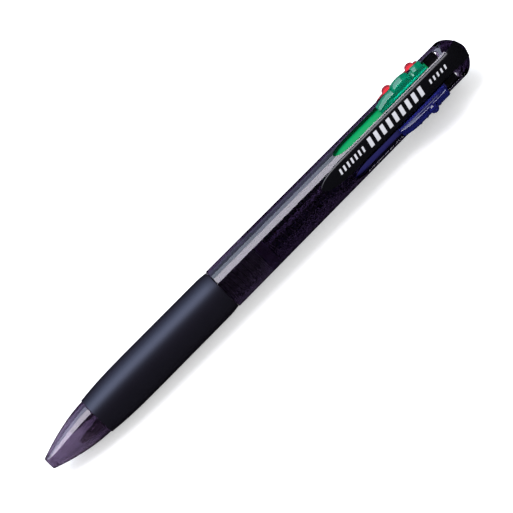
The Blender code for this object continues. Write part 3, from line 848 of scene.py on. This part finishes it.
KNOB_FLAT = 7.1            # radius of a knob's plain top
KNOB_PEAK = 8.3            # radius of the top of each raised stretch
KNOB_FRONT_HEIGHT = 6.1
KNOB_RAMP = 4.4
KNOB_EDGE = 0.22
RAMP_STEPS = 6
BUMP_STEPS = 16
# Raised stretches of each knob's top as (start, end), from its front end.
KNOB_BUMPS = {
    "green": [(5.5, 11.2)],
    "blue": [],
    "black": [(4.7, 6.3), (6.9, 8.5), (9.1, 10.7), (11.3, 12.9)],
    "red": [(3.9, 6.6), (11.8, 14.3)],
}
GREEN_SLIT = [(11.4, 6.4), (12.2, 6.4), (12.3, KNOB_FLAT + 0.3)]     # (along, outward)
TOUCH_BALL_ALONG = 9.85    # the blue knob's touch ball
TOUCH_BALL_OUT = 7.25
TOUCH_BALL_RADIUS = 1.3

WIRE_RADIUS = 0.14
SPRING_TURNS = 11
SPRING_STEPS = 28          # to one turn
SPRING_SIDES = 10
END_TURN_RISE = 1.6 * WIRE_RADIUS  # over each closed end turn

TUBE_BORE = TUBE_RADIUS - 0.3
TUBE_STEPS = 60
PLUG_PLAY = 0.15
SOCKET_PLAY = 0.05


def build_slider(colour):
    """Bar with a rounded top and soft edges, its foot and its spigot."""
    angle = ANGLE[colour]
    low, high = SLIDER_LOW, SLIDER_HIGH
    top = high.y
    under = REFILL_ORBIT + SLIDER_LIFT
    front = SLOT_FRONT - SLIDER_LAP
    outline = [(front, under), (front, top), (high.z, top), (high.z, under)]
    outline = fillet(outline, SLIDER_ROUNDING, 3)
    bar = plate(f"{colour}_slider_fine", outline, high.x - low.x, angle)
    rounding = [(0, high.z + 1), (top, high.z + 1), (top, front - 1), (0, front - 1)]
    boolean(bar, lathe("rounding", rounding), "INTERSECT")
    bevel(bar, SLIDER_EDGE, 35)
    rear = FOOT_FRONT + FOOT_LENGTH
    foot = [(0, rear), (FOOT_RADIUS - 0.15, rear), (FOOT_RADIUS, rear - 0.15),
            (FOOT_RADIUS, FOOT_FRONT + 0.1), (FOOT_RADIUS - 0.1, FOOT_FRONT)]
    spigot = [(SPIGOT_RADIUS, FOOT_FRONT), (SPIGOT_RADIUS, low.z + 0.4),
              (SPIGOT_RADIUS - 0.2, low.z), (0, low.z)]
    boolean(bar, lathe("foot", foot + spigot, 32, outward(angle) * REFILL_ORBIT), "UNION")
    finish_piece(smooth(bar), bar_look(colour), f"{colour}_slide_body",
                 f"{colour}_slider_plastic", f"{colour}_slider")


def knob_outline(colour):
    """Closed (along, outward) outline of a knob, its touch shape along its top."""
    front = KNOB_LOW.z
    length = KNOB_HIGH.z - front
    bumps = KNOB_BUMPS[colour]
    ramp = min(KNOB_RAMP, bumps[0][0] if bumps else length)
    points = [(length, KNOB_LOW.y), (0, KNOB_LOW.y), (0, KNOB_FRONT_HEIGHT)]
    for i in range(1, RAMP_STEPS + 1):
        share = i / RAMP_STEPS
        climb = (KNOB_FLAT - KNOB_FRONT_HEIGHT) * math.sin(share * math.pi / 2)
        points.append((ramp * share, KNOB_FRONT_HEIGHT + climb))
    for start, end in bumps:
        # A bump that starts where the ramp ends shares its first point with it.
        for step in range(1 if start <= KNOB_RAMP else 0, BUMP_STEPS + 1):
            turn = math.pi * step / BUMP_STEPS
            along = start + (end - start) * (1 - math.cos(turn)) / 2
            points.append((along, KNOB_FLAT + (KNOB_PEAK - KNOB_FLAT) * math.sin(turn)))
    if colour == "green":
        points += GREEN_SLIT
    points += [(length - 0.6, KNOB_FLAT), (length - 0.15, KNOB_FLAT - 0.2),
               (length, KNOB_FLAT - 0.7)]
    return [(front + along, out) for along, out in points]


def build_knob(colour):
    """Clear fin with soft edges in its colour's touch shape."""
    angle = ANGLE[colour]
    width = KNOB_HIGH.x - KNOB_LOW.x
    fin = plate(f"{colour}_knob_fine", knob_outline(colour), width, angle)
    bevel(fin, KNOB_EDGE, 50)
    if colour == "blue":
        spot = outward(angle) * TOUCH_BALL_OUT + Vector((0, 0, KNOB_LOW.z + TOUCH_BALL_ALONG))
        boolean(fin, lathe("touch_ball", ball_profile(TOUCH_BALL_RADIUS, 9), 40, spot), "UNION")
    finish_piece(smooth(fin, 40), knob_look(colour), f"{colour}_slide_body",
                 f"{colour}_knob_plastic", f"{colour}_knob")


def tube_along(name, path, radius, sides):
    """Round wire through points in the pen's frame, closed at both ends."""
    points = []
    for i, spot in enumerate(path):
        ahead = (path[min(i + 1, len(path) - 1)] - path[max(i - 1, 0)]).normalized()
        across = ahead.cross(Vector((0, 0, 1))).normalized()
        up = ahead.cross(across)
        for k in range(sides):
            turn = math.tau * k / sides
            points.append(spot + radius * (across * math.cos(turn) + up * math.sin(turn)))
    faces = []
    for i in range(len(path) - 1):
        for k in range(sides):
            m = (k + 1) % sides
            a = i * sides
            faces.append([a + k, a + m, a + sides + m, a + sides + k])
    faces.append(list(range(sides)))
    faces.append(list(range(len(points) - 1, len(points) - sides - 1, -1)))
    return tidy(made(name, points, faces))


def build_spring(colour):
    """Return spring with closed end turns, built at one length; the real spring shortens as its
    slider comes forward.
    """
    angle = ANGLE[colour]
    centre = outward(angle) * REFILL_ORBIT
    low, high = extent(f"{colour}_spring", angle)
    radius = (high.x - low.x) / 2 - WIRE_RADIUS
    first = low.z + WIRE_RADIUS
    live_length = high.z - WIRE_RADIUS - first - 2 * END_TURN_RISE
    path = []
    for i in range(SPRING_TURNS * SPRING_STEPS + 1):
        turn = i / SPRING_STEPS
        live = min(max(turn - 1, 0), SPRING_TURNS - 2) / (SPRING_TURNS - 2)
        ends = min(turn, 1) + min(max(turn - (SPRING_TURNS - 1), 0), 1)
        z = first + END_TURN_RISE * ends + live_length * live
        swing = math.tau * turn
        path.append(centre + Vector((radius * math.cos(swing), radius * math.sin(swing), z)))
    coil = tube_along(f"{colour}_spring_fine", path, WIRE_RADIUS, SPRING_SIDES)
    finish_piece(smooth(coil, 60), STEEL_LOOK, "root", "spring_steel", f"{colour}_spring")
    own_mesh(coil)


def build_tube(colour, centre):
    """Ink tube round its refill's centre, built straight; the real tube bends towards the tip's
    centre as its slider comes forward.
    """
    heights = [float(z) for z in np.linspace(TUBE_HIGH.z, TUBE_LOW.z, TUBE_STEPS)]
    profile = [(TUBE_RADIUS, z) for z in heights] + [(TUBE_BORE, z) for z in reversed(heights)]
    tube = lathe(f"{colour}_tube_fine", profile, 32, centre)
    finish_piece(smooth(tube), ink_look(colour), None, f"{colour}_tube_plastic",
                 f"{colour}_refill_tube")
    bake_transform(tube)


def build_point(colour, centre):
    """Metal writing point, plugged into its tube, and the ball in its socket."""
    steer = f"{colour}_point_body"
    rear = POINT_HIGH.z
    shoulder = TUBE_LOW.z - FIT_GAP
    tip = POINT_LOW.z
    plug_radius = TUBE_BORE - PLUG_PLAY
    ball = (BALL_HIGH.x - BALL_LOW.x) / 2
    socket = ball + SOCKET_PLAY
    plug = [(0, rear), (plug_radius - 0.1, rear), (plug_radius, rear - 0.4),
            (plug_radius, shoulder)]
    collar = [(TUBE_RADIUS - 0.08, shoulder), (TUBE_RADIUS, shoulder - 0.1),
              (TUBE_RADIUS, tip + 5.7), (TUBE_RADIUS - 0.04, tip + 5.5)]
    neck = [(0.86, tip + 4.7), (0.82, tip + 4.5), (0.8, tip + 2.5), (0.77, tip + 2.3)]
    cone = [(0.5, tip + 0.6), (socket + 0.07, tip + 0.08), (socket + 0.04, tip)]
    inside = [(socket, tip + 0.02), (socket, tip + 0.42), (0, tip + 0.57)]
    point = lathe(f"{colour}_point_fine", plug + collar + neck + cone + inside, 48, centre)
    # The point's darkened nickel colour is painted shade from the nose's dark inside.
    finish_piece(smooth(point, 30), NICKEL_PAINTED_SHADE_LOOK, steer, "point_metal", f"{colour}_refill_point")
    middle = centre + Vector((0, 0, (BALL_LOW.z + BALL_HIGH.z) / 2))
    sphere = lathe(f"{colour}_ball_fine", ball_profile(ball, 10), 32, middle)
    finish_piece(smooth(sphere, 80), BALL_LOOK, steer, "ball_metal", f"{colour}_ball")


def dress_cad_pieces():
    """The seat and core keep their CAD shapes and get their own plastics."""
    for node, look in (("spring_seat", SEAT_LOOK), ("selector_core", CORE_LOOK)):
        mesh = frame["nodes"][node].data
        mesh.materials.clear()
        mesh.materials.append(look)


# ---- stage, light and camera -----------------------------------------------------------------
FLOOR_SIZE = 6             # metres
FLOOR_DROP = 0.0003        # below the pen, so that the two never share a face
FLOOR_GLOW = 0.35          # fills in the pen's shadow, as the photo's studio does
WORLD_COLOUR = (0.98, 0.99, 1, 1)
WORLD_STRENGTH = 0.95

VIEW_LEAN = math.radians(4.0)      # from the strip towards the green side
PEN_SLOPE = math.radians(45.25)    # how steeply the pen climbs across the frame
FIELD = 0.1246             # metres across the frame at the pen
SENSOR_WIDTH = 36          # millimetres
CAMERA_DISTANCE = 1.2
CAMERA_REACH = 20
AIM_DROP = 0.0004          # the pen's middle sits this far above the frame's centre
# The viewer's direction from the pen, and the direction across the pen as the viewer sees it.
VIEWER = STRIP * math.cos(VIEW_LEAN) + SIDE * math.sin(VIEW_LEAN)
ACROSS = SIDE * math.cos(VIEW_LEAN) - STRIP * math.sin(VIEW_LEAN)

# Each softbox as (name, degrees round the pen from the viewer, degrees across, reach towards the
# tip and towards the dome in metres, radiance, tint).
SOFTBOXES = (
    ("main_softbox", 50, 32, 0.75, 0.25, 5.2, (0.92, 0.9, 1.0)),
    ("mid_softbox", 77, 22, 0.75, 0.25, 2.3, (0.72, 0.82, 1.0)),
    ("edge_softbox", 104, 32, 0.5, 0.3, 0.45, (0.6, 0.7, 1.0)),
)
LIGHT_DISTANCE = 0.9


def stage():
    """Pale floor under the pen and an even white surround that reflections don't show."""
    bpy.ops.mesh.primitive_plane_add(size=FLOOR_SIZE, location=(0, 0, -FLOOR_DROP))
    floor = bpy.context.object
    floor.name = "studio_floor"
    white = principled("studio_white", (0.85, 0.85, 0.85), 0.95, Emission_Color=(1, 1, 1, 1),
                       Emission_Strength=FLOOR_GLOW)
    floor.data.materials.append(white)
    floor.visible_glossy = False
    world = bpy.data.worlds.new("studio")
    bpy.context.scene.world = world
    world.use_nodes = True
    background = world.node_tree.nodes["Background"]
    background.inputs["Color"].default_value = WORLD_COLOUR
    background.inputs["Strength"].default_value = WORLD_STRENGTH
    world.cycles_visibility.glossy = False


def softbox(name, centre, back, size, radiance, tint):
    """Rectangular area light facing along -back; size is (along the pen, across it)."""
    data = bpy.data.lights.new(name, "AREA")
    data.shape = "RECTANGLE"
    data.size, data.size_y = size
    data.energy = radiance * math.pi * size[0] * size[1]
    data.color = tint
    light = bpy.data.objects.new(name, data)
    bpy.context.scene.collection.objects.link(light)
    turn = Matrix((ALONG, back.cross(ALONG), back)).transposed().to_4x4()
    light.matrix_world = Matrix.Translation(centre) @ turn


def lights():
    """Overhead softboxes side by side: a bright one for the pen's broad highlight, then dimmer
    and bluer ones that fade it out towards the far edge."""
    for name, angle, spread, ahead, behind, radiance, tint in SOFTBOXES:
        back = Matrix.Rotation(-math.radians(angle), 3, ALONG) @ VIEWER
        centre = back * LIGHT_DISTANCE - ALONG * (ahead - behind) / 2
        across = 2 * LIGHT_DISTANCE * math.tan(math.radians(spread / 2))
        softbox(name, centre, back, (ahead + behind, across), radiance, tint)


def camera():
    """A long lens at the photo's angle: the strip to the front and the pen climbing rightward."""
    right = ALONG * math.cos(PEN_SLOPE) - ACROSS * math.sin(PEN_SLOPE)
    up = ALONG * math.sin(PEN_SLOPE) + ACROSS * math.cos(PEN_SLOPE)
    middle = PEN @ Vector((0, 0, PEN_LENGTH / 2)) - up * AIM_DROP
    data = bpy.data.cameras.new("camera")
    data.sensor_width = SENSOR_WIDTH
    data.lens = SENSOR_WIDTH * CAMERA_DISTANCE / FIELD
    data.clip_end = CAMERA_REACH
    view = bpy.data.objects.new("camera", data)
    bpy.context.scene.collection.objects.link(view)
    turn = Matrix((right, up, VIEWER)).transposed().to_4x4()
    view.matrix_world = Matrix.Translation(middle + VIEWER * CAMERA_DISTANCE) @ turn
    bpy.context.scene.camera = view


# ---- all of it -------------------------------------------------------------------------------
camera()
stage()
lights()
bpy.context.scene.view_settings.view_transform = "Standard"
build_front_barrel()
build_thread()
build_grip()
build_rear_barrel()
build_clip()
build_strip()
build_marks()
dress_cad_pieces()
for hue in ORDER:
    build_slider(hue)
    build_knob(hue)
    build_spring(hue)
    refill_centre = outward(ANGLE[hue]) * REFILL_ORBIT
    build_tube(hue, refill_centre)
    build_point(hue, refill_centre)
